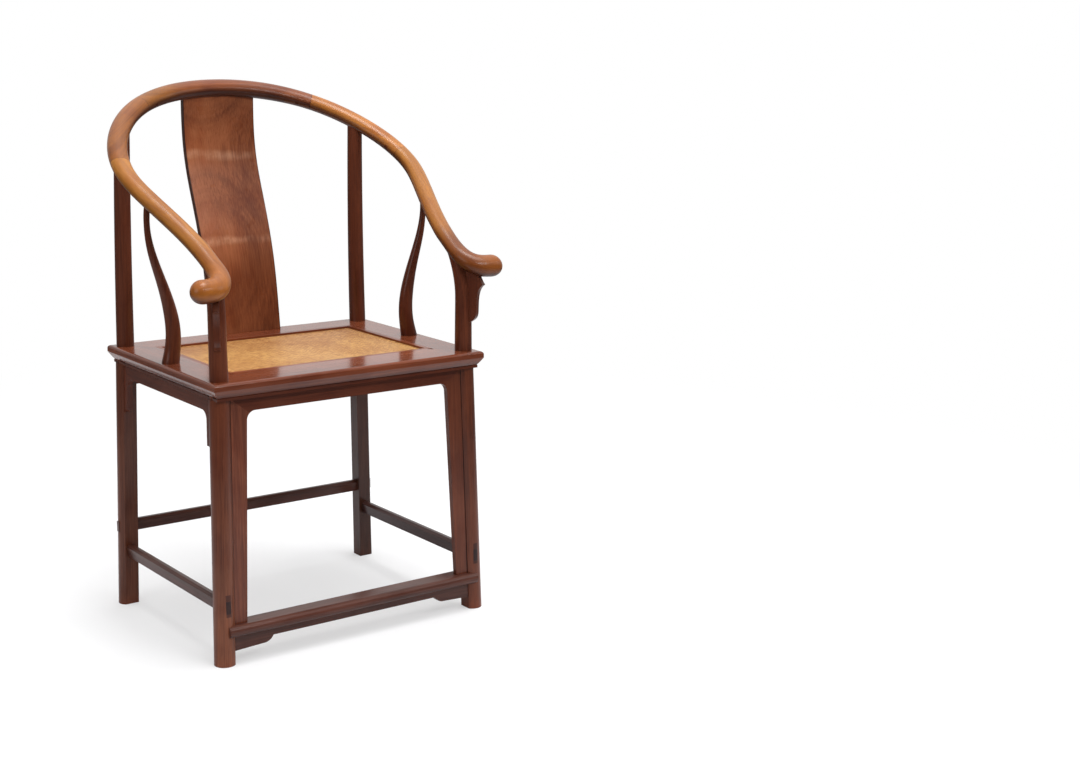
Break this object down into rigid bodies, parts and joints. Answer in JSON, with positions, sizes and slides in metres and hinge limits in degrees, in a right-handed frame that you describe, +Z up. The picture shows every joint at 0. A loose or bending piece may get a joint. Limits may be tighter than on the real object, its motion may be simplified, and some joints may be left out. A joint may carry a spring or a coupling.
{
  "type": "horseshoe back armchair",
  "caption": "Chinese horseshoe back armchair: round hardwood rail sweeping from crest to handgrips, S-curved splat, splayed legs, cane seat, footrest and stepped stretchers",
  "frame": {"origin": "on the floor under the middle of the chair's outer box", "axes": "+X to the chair's side of symmetry (right as seen from the front), -Y to the front, +Z up; the chair is mirror-symmetric about X = 0"},
  "size_m": [0.6448, 0.5516, 1.0124],
  "materials": {
    "wood_rail": "polished hardwood, golden orange brown",
    "wood_splat": "polished hardwood with fine upright grain",
    "wood_frame": "polished hardwood, dark red brown",
    "cane": "fine woven cane, satin",
    "palm": "coarse woven palm fibre"
  },
  "bodies": {
    "root": {"apron_front": "wood_frame", "apron_front_left": "wood_frame", "apron_front_right": "wood_frame", "apron_rear": "wood_frame", "apron_side_left": "wood_frame", "apron_side_right": "wood_frame", "arm_bracket_left": "wood_frame", "arm_bracket_right": "wood_frame", "arm_wedge_left": "wood_rail", "arm_wedge_right": "wood_rail", "back_splat": "wood_splat", "cane_mat": "cane", "crest_wedge_left": "wood_rail", "crest_wedge_right": "wood_rail", "footrest": "wood_frame", "footrest_apron": "wood_frame", "front_leg_left": "wood_frame", "front_leg_right": "wood_frame", "mat_strip_front": "wood_frame", "mat_strip_left": "wood_frame", "mat_strip_rear": "wood_frame", "mat_strip_right": "wood_frame", "palm_underlay": "palm", "rail_arm_left": "wood_rail", "rail_arm_right": "wood_rail", "rail_crest": "wood_rail", "rail_shoulder_left": "wood_rail", "rail_shoulder_right": "wood_rail", "rear_leg_left": "wood_frame", "rear_leg_right": "wood_frame", "seat_brace_left": "wood_frame", "seat_brace_right": "wood_frame", "seat_rail_front": "wood_frame", "seat_rail_left": "wood_frame", "seat_rail_rear": "wood_frame", "seat_rail_right": "wood_frame", "side_post_left": "wood_frame", "side_post_right": "wood_frame", "spandrel_left_front": "wood_frame", "spandrel_left_rear": "wood_frame", "spandrel_rear_left": "wood_frame", "spandrel_rear_right": "wood_frame", "spandrel_right_front": "wood_frame", "spandrel_right_rear": "wood_frame", "stretcher_left": "wood_frame", "stretcher_rear": "wood_frame", "stretcher_right": "wood_frame"}
  },
  "joints": []
}
